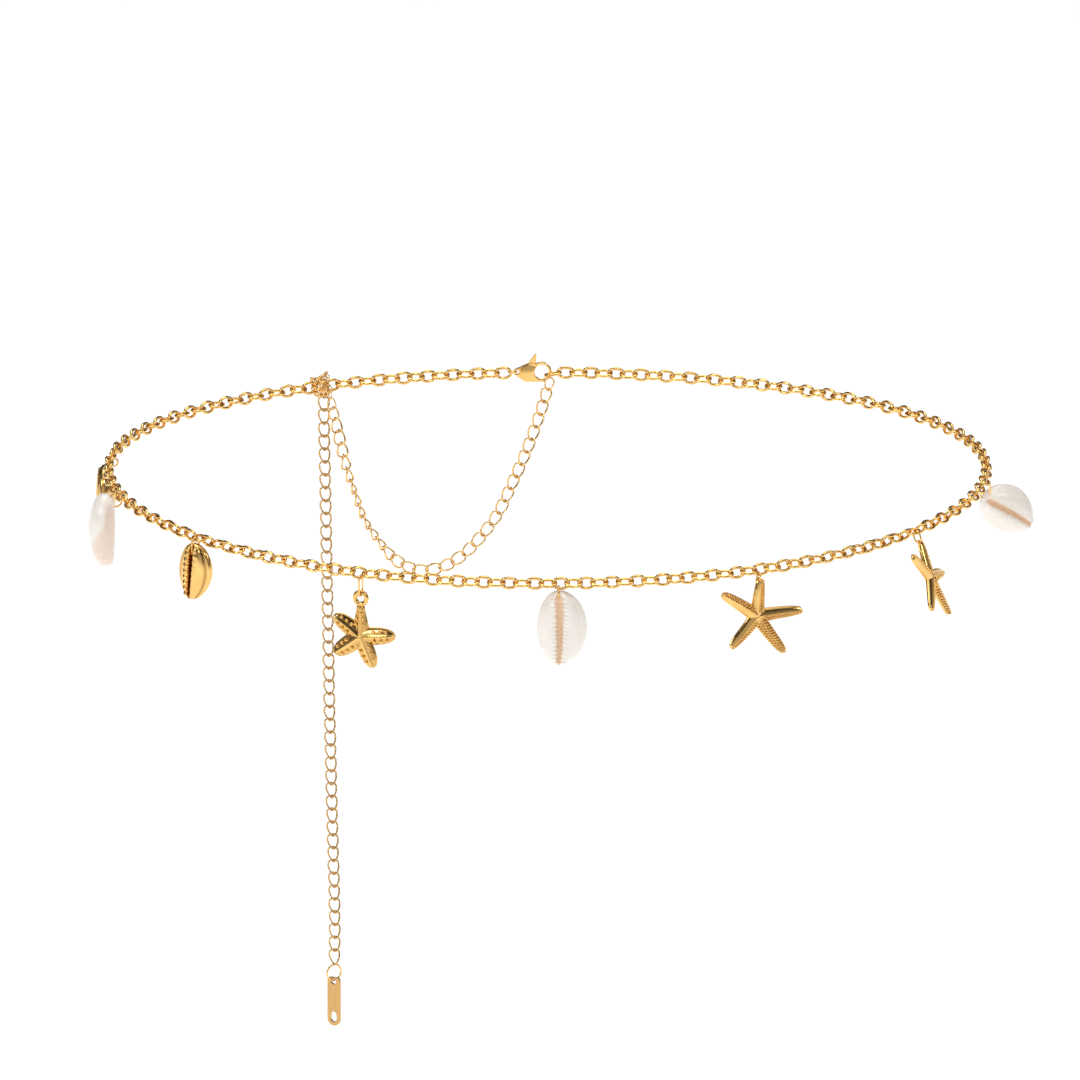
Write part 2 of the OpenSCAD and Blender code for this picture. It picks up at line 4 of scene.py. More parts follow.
import bmesh
import bpy
from bpy.props import FloatProperty, FloatVectorProperty, PointerProperty
from mathutils import Matrix, Vector


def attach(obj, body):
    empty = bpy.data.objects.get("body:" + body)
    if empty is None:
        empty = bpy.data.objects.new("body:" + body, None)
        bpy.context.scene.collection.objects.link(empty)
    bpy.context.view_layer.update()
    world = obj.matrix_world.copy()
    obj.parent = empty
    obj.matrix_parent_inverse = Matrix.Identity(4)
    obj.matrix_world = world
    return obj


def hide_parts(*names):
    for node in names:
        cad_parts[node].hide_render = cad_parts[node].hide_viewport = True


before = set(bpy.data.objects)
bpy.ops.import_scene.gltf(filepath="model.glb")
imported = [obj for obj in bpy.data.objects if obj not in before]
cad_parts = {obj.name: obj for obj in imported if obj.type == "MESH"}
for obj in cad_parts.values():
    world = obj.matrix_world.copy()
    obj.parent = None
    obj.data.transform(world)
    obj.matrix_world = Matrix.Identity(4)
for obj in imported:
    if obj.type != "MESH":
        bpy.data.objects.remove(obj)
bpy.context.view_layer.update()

bl_info = {
    "name": "Waist Chain",
    "version": (1, 0, 0),
    "blender": (4, 5, 0),
    "location": "View3D > Sidebar > Waist Chain",
    "description": "Dresses a gold waist chain with its extender, cowries and starfish",
    "category": "Object",
}

# Measures are in millimetres and angles in degrees, until a piece is finished
MM = 0.001

# The main chain's loop, its links and the bare space between two of them
HALF_W = 139.0
HALF_D = 114.0
SIDE_RISE = 2.8
LINK_LEN = 6.0
LINK_W = 4.3
LINK_WIRE = 0.9
LINK_GAP = 0.15
LINK_STEPS = 192
ARC_PARTS = 720
# Roll of the links about the chain: play of each one, the flat ones at the
# sides, how far those lean at the front and back, and what the scene adds
ROLL_PLAY = 5
PLAY_TURN = 137.5
FLAT_ROLL = 90
LEAN_ROLL = 20
SIDE_ROLL = 36
# What the drawn links have over the solid ones
LINK_MORE_LEN = 0.12
LINK_MORE_W = 0.1
LINK_MORE_WIRE = 1.14

# The clasp's hook and tail, and the tilt of the link that the hook holds
HOOK_OFFSET = 1.9
HOOK_Z = 0.2
HOOK_R = 2.8
HOOK_WIRE = 1.05
END_TILT = 11
TAIL_LEN = 7.75
TAIL_EYE_R = 0.7
TAIL_T = 1.1
TAIL_RING_R = 1.35
TAIL_RING_WIRE = 0.6
TAIL_RING_IN = 0.12
# Middle, reach in X and Z, and strength of the dome of the clasp's two faces
CLASP_DOME = (-6.3, HALF_D, -0.3, 4.2, 3.0, 0.5)
DOME_CROWN = 0.35
DOME_END = 1.6

RING_WIRE = 0.6
HANG_GAP = 0.1
# Where each charm hangs: share of the chain, flat link or not, its ring's
# radius and straight run, slide, swing, lean, turn and tilt
CHARMS = {
    "white_shell_front": (0.5, 0, 2.1, 0, -0.7, 0, 0, 0, 0),
    "white_shell_left": (0.729, 0, 2.1, 0, 0, 42, 0, 165, 0),
    "white_shell_right": (0.26, 0, 1.5, 3.7, 0, 0, 0, -53, -57),
    "gold_shell_front": (0.661, 1, 1.5, 2.7, 0, 0, 0, 10, 5),
    "gold_shell_left": (0.781, 0, 1.5, 0, 0, 0, 0, 0, 0),
    "starfish_beaded": (0.583, 0, 1.5, 3.7, 0.7, 0, 0, 0, 0),
    "starfish_slender": (0.417, 0, 1.3, 0, -0.7, 0, 0, 0, 3),
    "starfish_slender_side": (0.333, 1, 1.3, 1.2, -0.5, 22, 22, 26, 3),
}

# Length, width, thickness, way out and up on the ring, teeth, slit's half
# width and blush of the base of each cowrie
SHELLS = {
    "white_shell_front": (24.4, 15.8, 8.0, 0.0, 2.7, 19, 1.0, 0.0),
    "white_shell_left": (23.8, 15.8, 8.0, 3.8, 4.6, 19, 0.9, 0.9),
    "white_shell_right": (21.2, 14.8, 8.0, -1.0, 0.5, 17, 0.8, 0.12),
    "gold_shell_front": (18.8, 12.5, 6.0, 0.2, 4.0, 10, 0.48, 0.0),
    "gold_shell_left": (18.8, 12.5, 6.0, 2.6, 0.5, 10, 0.62, 0.0),
}
# How natural and cast cowries differ. narrow: how much the foot narrows; ends:
# how round the base's ends are; smooth_lip: share of the teeth on the right lip;
# bite: how far teeth reach into the slit; groove: its share of the thickness;
# lip: where the lip starts and ends beside it; swell: how high the lips stand;
# rim, rim_shade: depth of a groove round the base and the painted shade in it; teeth: their size
NATURAL = {"narrow": 0.02, "ends": 0.36, "smooth_lip": 1, "bite": 0.17, "groove": 0.16, "lip": (0.7, 2.0),
           "swell": 0.7, "rim": 0, "rim_shade": 0, "teeth": 0.6}
CAST = {"narrow": 0.2, "ends": 0.5, "smooth_lip": 0.1, "bite": 0.3, "groove": 0.4, "lip": (1.0, 2.2),
        "swell": 0.45, "rim": 0.45, "rim_shade": 1, "teeth": 1.9}
# Base's share of the thickness, left half's of the base's width, and how far
# the back and the slit bow to the side
BASE_SHARE = 0.36
LEFT_SHARE = 0.43
BACK_SHIFT = 0.07
BASE_CURVE = 0.35
# Where the foot starts along a cowrie, and how much lower its tip is
FOOT_AT = 0.45
FOOT_DROP = 0.15
# Where the slit starts and ends, its half width at the top, and what that
# loses by the foot, as shares
SLIT_RUN = (0.01, 0.07, 0.94, 0.995)
SLIT_TOP = 1.2
SLIT_TAPER = 0.55
# The groove round the base: share of the half width, and its own width
RIM_AT = 0.78
RIM_WIDTH = 0.06

# Share of an arm's length, of its width and of its height. The beaded
# starfish's top arm narrows to its eye.
NECK_ROWS = ((0, 0.9, 1), (0.28, 0.9, 0.86), (0.45, 0.8, 0.8), (0.62, 0.66, 0.74), (0.78, 0.54, 0.68),
             (0.9, 0.5, 0.62), (0.97, 0.46, 0.56), (1, 0.4, 0.5))
BEADED_ROWS = ((0, 0.9, 1), (0.28, 0.98, 0.86), (0.45, 0.97, 0.8), (0.62, 0.92, 0.74), (0.78, 0.8, 0.68),
               (0.9, 0.58, 0.6), (0.97, 0.34, 0.52), (1, 0.14, 0.46))
SLENDER_ROWS = ((0, 1.2, 1), (0.2, 1.1, 0.95), (0.38, 1.02, 0.9), (0.56, 0.96, 0.86), (0.74, 0.87, 0.8),
                (0.88, 0.74, 0.72), (0.96, 0.56, 0.62), (1, 0.36, 0.54))
# Arms: direction, share of the reach and bend. drop: from the eye's middle to
# the star's; eye: radius and wire of the solid's eye; ring: of the drawn one;
# rib and fullness: height of an arm's rib and how full its flanks are
BEADED = {
    "arms": ((90, 0.87, 0), (145, 0.94, 0.04), (219, 0.97, -0.05), (291, 0.95, 0.05), (364, 1.02, 0.04)),
    "top_rows": NECK_ROWS, "rows": BEADED_ROWS, "drop": 12.4, "reach": 11.6, "arm_w": 6, "thick": 3.2,
    "eye": (1.75, 1.2), "ring": (1.93, 1.56), "rib": 0.5, "fullness": 1.5,
}
SLENDER = {
    "arms": ((88, 0.75, -0.02), (145, 0.93, 0.05), (232, 0.82, -0.06), (306, 1, 0.05), (365, 0.98, -0.04)),
    "top_rows": SLENDER_ROWS, "rows": SLENDER_ROWS, "drop": 11.5, "reach": 16, "arm_w": 4, "thick": 2.4,
    "eye": (0.85, 0.6), "ring": (0.85, 0.6), "rib": 0.12, "fullness": 1.9,
}
STARS = {"starfish_beaded": BEADED, "starfish_slender": SLENDER, "starfish_slender_side": SLENDER}
# The flank of each slender arm that has grains: 1 or -1, or 0 for both
GRAINED_FLANKS = (-1, -1, 1, 0, -1)
# Shares of a star's thickness: an arm's edge and crest in front, and its back
EDGE_SHARE = 0.12
CREST_SHARE = 0.7
BACK_SHARE = 0.3
RIB_WIDTH = 0.2
# Beads: places along an arm and across it. Grains: first place, step and
# number along an arm, and lines across it where one or both flanks have them
BEADS_ALONG = (0.4, 0.58, 0.76)
BEADS_ACROSS = (-0.56, 0.56)
GRAIN_FIRST = 0.14
GRAIN_STEP = 0.068
GRAINS = 13
FLANK_LINES = (0.12, 0.45, 0.78)
BOTH_LINES = (-0.74, -0.38, 0, 0.38, 0.74)

# Route of the extender: point and share of a link's size there
SWAG_ROUTE = (
    (0.9, 112.2, -1.5, 0.7), (0.4, 112.2, -3.6, 0.9), (-0.3, 112.4, -6, 1), (-2, 112.5, -12, 1),
    (-4.7, 112, -20, 1), (-7.8, 111, -28, 1), (-11.5, 110.5, -36.5, 1), (-15.5, 109, -45, 1),
    (-20.5, 108, -52, 1), (-26.5, 106, -58, 1), (-33.5, 104.5, -62, 1), (-41.5, 102.5, -62.5, 1),
    (-48.5, 100.5, -58.5, 1), (-54, 99, -51.5, 1), (-58.5, 98, -44, 1), (-61.2, 97, -36, 1),
    (-63.8, 96.2, -27.5, 1), (-65.8, 95.3, -19, 1), (-67.5, 94.4, -11, 1), (-68.8, 94, -5, 0.8),
    (-69.6, 94.2, -0.5, 0.55), (-70, 94.6, 2.4, 0.5), (-70.4, 95.8, 4.2, 0.5), (-70.6, 97.2, 4.2, 0.5),
)
DROP_ROUTE = (
    (-70.6, 97.4, 4.2, 0.5), (-70.8, 98.8, 4.2, 0.5), (-71, 100.4, 3.4, 0.5), (-71.3, 101.6, 1.2, 0.5),
    (-71.4, 102.2, -2, 0.6), (-71.4, 102.4, -7, 1), (-71.3, 102.4, -17, 1), (-71.1, 102.4, -28, 1),
    (-70.9, 102.4, -40, 1), (-70.7, 102.4, -52, 1), (-70.5, 102.4, -64, 1), (-70.3, 102.4, -76, 1),
    (-70.1, 102.4, -88, 1), (-69.9, 102.4, -100, 1), (-69.7, 102.4, -112, 1), (-69.4, 102.4, -124, 1),
    (-69.2, 102.4, -136, 1), (-68.9, 102.4, -148, 1), (-68.6, 102.4, -160, 1), (-68.3, 102.4, -172, 1),
    (-68.2, 102.4, -183, 1), (-68.3, 102.4, -191, 1), (-68.4, 102.4, -194.3, 1),
)
ROUTE_PARTS = 24
FINE_GAP = 0.05
# Links below this share of their size crowd together: each second one is
# turned, less in the winding, and all are drawn a little larger
CROWD_BELOW = 0.75
CROWD_TURN = 90
WINDING_TURN = 60
CROWD_GROWTH = 1.08
# Extra roll of the links where the swag lies lowest, and where that starts and
# ends, as shares of its length
SWAG_ROLL = 52
SWAG_LOW = (0.5, 0.58, 0.7, 0.78)
# The winding round the main chain: angle from the chain's end, angle round the
# chain of its first place, places and the angle between them, place and step
# along the chain, reach out and up, size of its links and of their wire
WINDING_AT = 25.7
WINDING_FROM = -150
WINDING_PLACES = 22
WINDING_STEP = 30
WINDING_ALONG = 2.2
WINDING_ADVANCE = -0.2
WINDING_OUT = 2.3
WINDING_UP = 2.5
WINDING_SIZE = 0.6
WINDING_WIRE = 1.5

# Roughness, height of the waves in metres, their scale, and the attribute
# that says where painted shade darkens the gold
POLISHED_FINISH = {"rough": (0.1, 0.2), "wave": 2.0e-5, "wave_scale": 500}
CAST_FINISH = {"rough": (0.08, 0.2), "wave": 1.5e-5, "wave_scale": 420, "painted_shade_attribute": "inner"}
FINE_FINISH = {"rough": (0.12, 0.24), "wave": 1e-5, "wave_scale": 700}
SATIN_COLOUR = (0.7, 0.43, 0.17)
SATIN_DEEP = (0.56, 0.32, 0.11)
# Tints of a cowrie: its bands, its blush and the inside of its slit
CREAM_TINT = (0.98, 0.93, 0.85)
ROSE_TINT = (0.88, 0.88, 0.92)
WARM_TINT = (0.98, 0.9, 0.8)

# The stage, in metres
CAMERA_AIM = (-0.00237, -0.00587, -0.01906)
CAMERA_AWAY = (0, -0.9557, 0.2944)
CAMERA_FAR = 12
CAMERA_LENS = 1263.6
FLOOR_SIZE = 30
FLOOR_Z = -0.32
FLOOR_GLOW = 0.36
PAPER = (0.97, 0.97, 0.97)
PAPER_CLOUD = (0.955, 0.955, 0.955)
# Place, size and power of each light
LIGHTS = {
    "light_top": ((0.0, 0.6, 2.6), 2.0, 26),
    "light_left": ((-2.0, -1.5, 1.4), 0.9, 17),
    "light_right": ((2.3, -0.4, 1.5), 0.8, 8),
    "light_front": ((0.9, -2.4, 2.0), 0.5, 9),
}
LIGHTS_AIM = (0, 0, -0.05)
# Grey of the studio from straight below, 0, to straight above, 1, and the
# grey in front, with the Y of a direction where it starts and is full
STUDIO_ENDS = 0.8
STUDIO_GREYS = ((0.49, 0.3), (0.53, 0.12), (0.68, 0.3), (0.74, 0.04), (0.87, 0.05), (0.92, 0.95))
STUDIO_FRONT = 0.55
STUDIO_FRONT_Y = (-0.86, -0.97)


class WaistChainSizes(bpy.types.PropertyGroup):
    """Sizes of the extender's links and of the relief on the charms"""
    fine_len: FloatProperty(name="Fine link length", description="Length of one link of the extender",
                            default=5.7 * MM, min=4 * MM, max=8 * MM, unit="LENGTH", precision=5)
    fine_width: FloatProperty(name="Fine link width", description="Width of one link of the extender",
                              default=4.2 * MM, min=3 * MM, max=5 * MM, unit="LENGTH", precision=5)
    fine_wire: FloatProperty(name="Fine wire", description="Thickness of the extender's wire",
                             default=0.64 * MM, min=0.4 * MM, max=0.9 * MM, unit="LENGTH", precision=5)
    fine_twist: FloatProperty(name="Fine link twist", description="Twist of an extender link from end to end",
                              default=math.radians(78), subtype="ANGLE")
    fine_roll: FloatProperty(name="Fine link roll",
                             description="Roll of the extender's links about the chain",
                             default=math.radians(24), subtype="ANGLE")
    tooth_height: FloatProperty(name="Tooth height", description="Height of the teeth on a cowrie's lips",
                                default=0.22 * MM, min=0, max=0.5 * MM, unit="LENGTH", precision=5)
    bead_radius: FloatProperty(name="Bead radius", description="Radius of the beads on the beaded starfish",
                               default=0.62 * MM, min=0.3 * MM, max=1 * MM, unit="LENGTH", precision=5)
    grain_radius: FloatProperty(name="Grain radius",
                                description="Radius of the grains on the slender starfish",
                                default=0.38 * MM, min=0.1 * MM, max=0.6 * MM, unit="LENGTH", precision=5)


class WaistChainColours(bpy.types.PropertyGroup):
    """Colours of the gold and of the white cowries"""
    gold: FloatVectorProperty(name="Gold", description="Polished gold plating",
                              default=(0.96, 0.61, 0.21), size=3, min=0, max=1, subtype="COLOR")
    # Dark gold: the plating's slow colour change, and on the cast charms also painted shade in slits, grooves
    # and between grains
    dark_gold_tone_and_shade: FloatVectorProperty(name="Deep gold", description="Gold where the polish lies deep",
                                   default=(0.44, 0.24, 0.07), size=3, min=0, max=1, subtype="COLOR")
    # The extender's hanging part is the same chain as its swag: this darker copy of the gold is painted shade
    shaded_hanging_gold: FloatVectorProperty(name="Fine chain gold", description="Redder gold of the extender",
                                   default=(0.72, 0.45, 0.17), size=3, min=0, max=1, subtype="COLOR")
    shell: FloatVectorProperty(name="Shell", description="Back of the white cowries",
                               default=(1.0, 0.94, 0.87), size=3, min=0, max=1, subtype="COLOR")
    peach: FloatVectorProperty(name="Peach", description="Inside and teeth of the white cowries",
                               default=(1.0, 0.81, 0.64), size=3, min=0, max=1, subtype="COLOR")


def around(t):
    """The main chain's middle line at angle t from the clasp."""
    a = math.radians(t)
    return Vector((HALF_W * math.sin(a), HALF_D * math.cos(a), SIDE_RISE * abs(math.sin(a)) ** 3))


def speed(t):
    """Length of the middle line for each degree at angle t."""
    a = math.radians(t)
    return math.hypot(HALF_W * math.cos(a), HALF_D * math.sin(a)) * math.pi / 180


def link_angles():
    """The angle of every main link, spaced evenly from the hook's link to the tail ring's."""
    half = (LINK_LEN - LINK_WIRE) / 2
    taut = LINK_LEN - 2 * LINK_WIRE - LINK_GAP
    lift = half * math.sin(math.radians(END_TILT))
    reach = HOOK_R - HOOK_WIRE / 2 - LINK_WIRE / 2 - LINK_GAP
    end_x = (-HOOK_OFFSET + math.sqrt(reach ** 2 - (HOOK_Z + 2 * lift) ** 2)
             + half * math.cos(math.radians(END_TILT)))
    ring_x = (-HOOK_OFFSET - TAIL_LEN - TAIL_EYE_R + TAIL_RING_WIRE / 2 + HANG_GAP
              - math.sqrt(TAIL_RING_R ** 2 - (TAIL_T / 2 + TAIL_RING_IN) ** 2))
    finish_x = ring_x - TAIL_RING_R + (TAIL_RING_WIRE + LINK_WIRE) / 2 + LINK_GAP - half
    t = math.degrees(math.asin((end_x + taut) / HALF_W))
    finish = 360 + math.degrees(math.asin(finish_x / HALF_W))
    step = (finish - t) / ARC_PARTS
    pitch = sum(speed(t + (i + 0.5) * step) * step for i in range(ARC_PARTS)) / LINK_STEPS
    angles = []
    for _ in range(LINK_STEPS + 1):
        angles.append(t)
        t += pitch / speed(t + pitch / speed(t) / 2)
    return angles


LINK_T = link_angles()


def link_turn(i):
    """Turn about Z of main link i, to lie along the chain."""
    a = math.radians(LINK_T[i])
    return math.degrees(math.atan2(HALF_D * math.sin(a), -HALF_W * math.cos(a)))


def link_roll(i):
    """Roll of main link i about the chain, as the solid has it. Odd links lie flat."""
    flat = FLAT_ROLL - LEAN_ROLL * math.cos(math.radians(LINK_T[i])) if i % 2 else 0
    return ROLL_PLAY * math.sin(math.radians(PLAY_TURN * i)) + flat


def charm_link(name):
    """The number of the main link that holds a charm."""
    share, flat = CHARMS[name][:2]
    return 2 * round(LINK_STEPS * share / 2) + flat


def turned(x=0, y=0, z=0):
    """Turns about X, Y and Z, in that order."""
    return (Matrix.Rotation(math.radians(z), 4, "Z") @ Matrix.Rotation(math.radians(y), 4, "Y")
            @ Matrix.Rotation(math.radians(x), 4, "X"))


def charm_place(name, out, up):
    """Where a charm sits: the lowest bend of its ring, moved out and up, and turned as the charm is."""
    ring_r, run, slide, swing, lean, turn, tilt = CHARMS[name][2:]
    link = charm_link(name)
    bow = (1 if link % 2 else -1) * (LINK_W - LINK_WIRE) / 2
    r, s = math.radians(link_roll(link)), math.radians(swing)
    hang = ring_r - RING_WIRE / 2 - LINK_WIRE / 2 - HANG_GAP
    middle = Vector((slide, -bow * math.sin(r) - hang * math.sin(s), bow * math.cos(r) - hang * math.cos(s)))
    return (Matrix.Translation(around(LINK_T[link])) @ turned(z=link_turn(link)) @ Matrix.Translation(middle)
            @ turned(x=-lean) @ Matrix.Translation((0, -out, up - ring_r - run)) @ turned(z=turn)
            @ turned(y=tilt))


def smooth_step(lo, hi, v):
    """0 below lo, 1 above hi, and a smooth rise between them."""
    v = min(max((v - lo) / (hi - lo), 0), 1)
    return v * v * (3 - 2 * v)


def plateau(spots, v):
    """1 between the two inner spots, 0 beyond the outer ones, and smooth between."""
    return smooth_step(spots[0], spots[1], v) * (1 - smooth_step(spots[2], spots[3], v))


def row_at(rows, u):
    """The rows' values at share u, straight between two rows."""
    for a, b in zip(rows, rows[1:]):
        if u <= b[0]:
            w = min(max((u - a[0]) / (b[0] - a[0]), 0), 1)
            return [p + (q - p) * w for p, q in zip(a[1:], b[1:])]
    return list(rows[-1][1:])


def linked(name, data):
    """A new object in the scene."""
    made = bpy.data.objects.new(name, data)
    bpy.context.scene.collection.objects.link(made)
    return made


def mesh_from(bm, name):
    """Turns a bmesh into a mesh, and frees it."""
    mesh = bpy.data.meshes.new(name)
    bm.to_mesh(mesh)
    bm.free()
    return mesh


def finished(name, bm, material, body, node, scale=MM):
    """Turns a bmesh into a finished piece that rides on its body and stands for its node."""
    bmesh.ops.scale(bm, vec=(scale, scale, scale), verts=bm.verts)
    for face in bm.faces:
        face.smooth = True
    mesh = mesh_from(bm, name)
    mesh.materials.append(material)
    piece = linked(name, mesh)
    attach(piece, body)
    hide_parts(node)


def wire_ring(bm, radius, wire, steps=48, sides=12):
    """A round ring about Y at the origin, spun from a round wire. Returns its vertices."""
    made = bmesh.ops.create_circle(bm, segments=sides, radius=wire / 2,
                                   matrix=Matrix.Translation((radius, 0, 0)))["verts"]
    edges = list({edge for vert in made for edge in vert.link_edges})
    before = set(bm.verts) - set(made)
    upright = Matrix.Rotation(math.pi / 2, 3, "X")
    bmesh.ops.rotate(bm, cent=(radius, 0, 0), matrix=upright, verts=made)
    bmesh.ops.spin(bm, geom=list(made) + edges, cent=(0, 0, 0), axis=(0, 0, 1), angle=2 * math.pi,
                   steps=steps, use_merge=True)
    verts = [v for v in bm.verts if v not in before]
    bmesh.ops.rotate(bm, cent=(0, 0, 0), matrix=upright, verts=verts)
    return verts


def new_material(name):
    """A new material with its Principled shader, nodes and links."""
    material = bpy.data.materials.new(name)
    material.use_nodes = True
    nodes, links = material.node_tree.nodes, material.node_tree.links
    return material, nodes["Principled BSDF"], nodes, links


def noise(nodes, links, scale, detail=4, stretch=(1, 1, 1)):
    """Noise on Object coordinates, stretched by a Mapping."""
    where = nodes.new("ShaderNodeTexCoord")
    mapping = nodes.new("ShaderNodeMapping")
    mapping.inputs["Scale"].default_value = stretch
    texture = nodes.new("ShaderNodeTexNoise")
    texture.inputs["Scale"].default_value = scale
    texture.inputs["Detail"].default_value = detail
    links.new(where.outputs["Object"], mapping.inputs["Vector"])
    links.new(mapping.outputs["Vector"], texture.inputs["Vector"])
    return texture.outputs["Fac"]


def spread(nodes, links, value, lo, hi, start=0.3, end=0.7):
    """A value from start to end, spread from lo to hi."""
    ranged = nodes.new("ShaderNodeMapRange")
    ranged.inputs["From Min"].default_value = start
    ranged.inputs["From Max"].default_value = end
    ranged.inputs["To Min"].default_value = lo
    ranged.inputs["To Max"].default_value = hi
    links.new(value, ranged.inputs["Value"])
    return ranged.outputs["Result"]


def blended(nodes, links, factor, first, second):
    """A colour between two others, each a colour or a socket."""
    mix = nodes.new("ShaderNodeMix")
    mix.data_type = "RGBA"
    links.new(factor, mix.inputs[0])
    for socket, colour in ((mix.inputs[6], first), (mix.inputs[7], second)):
        if isinstance(colour, bpy.types.NodeSocket):
            links.new(colour, socket)
        else:
            socket.default_value = (*colour, 1)
    return mix.outputs[2]


def bumped(nodes, links, shader, height, distance):
    """Gives a shader relief of a height in metres."""
    bump = nodes.new("ShaderNodeBump")
    bump.inputs["Distance"].default_value = distance
    links.new(height, bump.inputs["Height"])
    links.new(bump.outputs["Normal"], shader.inputs["Normal"])


def painted(nodes, name):
    """What a piece's own attribute says of each place."""
    attribute = nodes.new("ShaderNodeAttribute")
    attribute.attribute_name = name
    return attribute.outputs["Fac"]


def tinted(colour, tint):
    """A colour times another."""
    return tuple(c * f for c, f in zip(colour, tint))


def gold_finish(name, colour, deep, rough, wave, wave_scale, painted_shade_attribute=None):
    """Polished gold plating: slow colour change, scuffs, faint waves, and painted shade where an attribute
    says.
    """
    material, shader, nodes, links = new_material(name)
    shader.inputs["Metallic"].default_value = 1.0
    cloud = noise(nodes, links, 160, 3)
    tone = blended(nodes, links, spread(nodes, links, cloud, 0.0, 0.3), colour, deep)
    # Painted shade: the deep colour where the attribute says, in slits, grooves and between grains
    if painted_shade_attribute:
        tone = blended(nodes, links, painted(nodes, painted_shade_attribute), tone, deep)
    links.new(tone, shader.inputs["Base Color"])
    scuffs = noise(nodes, links, 1400, 5, (1, 1, 0.35))
    links.new(spread(nodes, links, scuffs, *rough), shader.inputs["Roughness"])
    bumped(nodes, links, shader, noise(nodes, links, wave_scale, 2), wave)
    return material


def satin_finish(name, colour, deep):
    """Satin gold: a grain drawn along Z."""
    material, shader, nodes, links = new_material(name)
    shader.inputs["Metallic"].default_value = 1.0
    grain = noise(nodes, links, 2600, 4, (1, 1, 0.06))
    tone = blended(nodes, links, spread(nodes, links, grain, 0.0, 0.35), colour, deep)
    links.new(tone, shader.inputs["Base Color"])
    links.new(spread(nodes, links, noise(nodes, links, 900), 0.26, 0.4), shader.inputs["Roughness"])
    bumped(nodes, links, shader, grain, 1.2e-5)
    return material


def shell_finish(name, colour, peach):
    """Glossy cowrie: warm white with faint bands, rose where it blushes and peach inside the slit."""
    material, shader, nodes, links = new_material(name)
    bands = noise(nodes, links, 260, 3, (1, 1, 2.6))
    cream = tinted(colour, CREAM_TINT)
    rose = tinted(peach, ROSE_TINT)
    warm = tinted(peach, WARM_TINT)
    back = blended(nodes, links, spread(nodes, links, bands, 0.0, 0.22), colour, cream)
    rim = blended(nodes, links, painted(nodes, "blush"), back, rose)
    links.new(blended(nodes, links, painted(nodes, "inner"), rim, warm), shader.inputs["Base Color"])
    links.new(spread(nodes, links, noise(nodes, links, 700, 5), 0.22, 0.3), shader.inputs["Roughness"])
    shader.inputs["Coat Weight"].default_value = 0.6
    shader.inputs["Coat Roughness"].default_value = 0.08
    shader.inputs["Subsurface Weight"].default_value = 0.12
    shader.inputs["Subsurface Radius"].default_value = (0.002, 0.0012, 0.0008)
    shader.inputs["Subsurface Scale"].default_value = 0.6
    bumped(nodes, links, shader, noise(nodes, links, 300, 2, (1, 1, 0.4)), 2.5e-6)
    return material


def material_named(name, make, *args, **kwargs):
    """One material of each name."""
    return bpy.data.materials.get(name) or make(name, *args, **kwargs)


def polished_gold(colours):
    """Gold of the main chain, the clasp, the rings and the swag."""
    return material_named("Polished gold", gold_finish, colours.gold, colours.dark_gold_tone_and_shade, **POLISHED_FINISH)


def cast_gold(colours):
    """Gold of the cast charms, with painted shade where the attribute inner says."""
    return material_named("Cast gold", gold_finish, colours.gold, colours.dark_gold_tone_and_shade, **CAST_FINISH)


def shaded_fine_gold(colours):
    """A darker copy of the extender's gold where it hangs down: painted shade."""
    return material_named("Fine gold", gold_finish, colours.shaded_hanging_gold, colours.dark_gold_tone_and_shade, **FINE_FINISH)


def satin_gold():
    """Gold of the tag."""
    return material_named("Satin gold", satin_finish, SATIN_COLOUR, SATIN_DEEP)


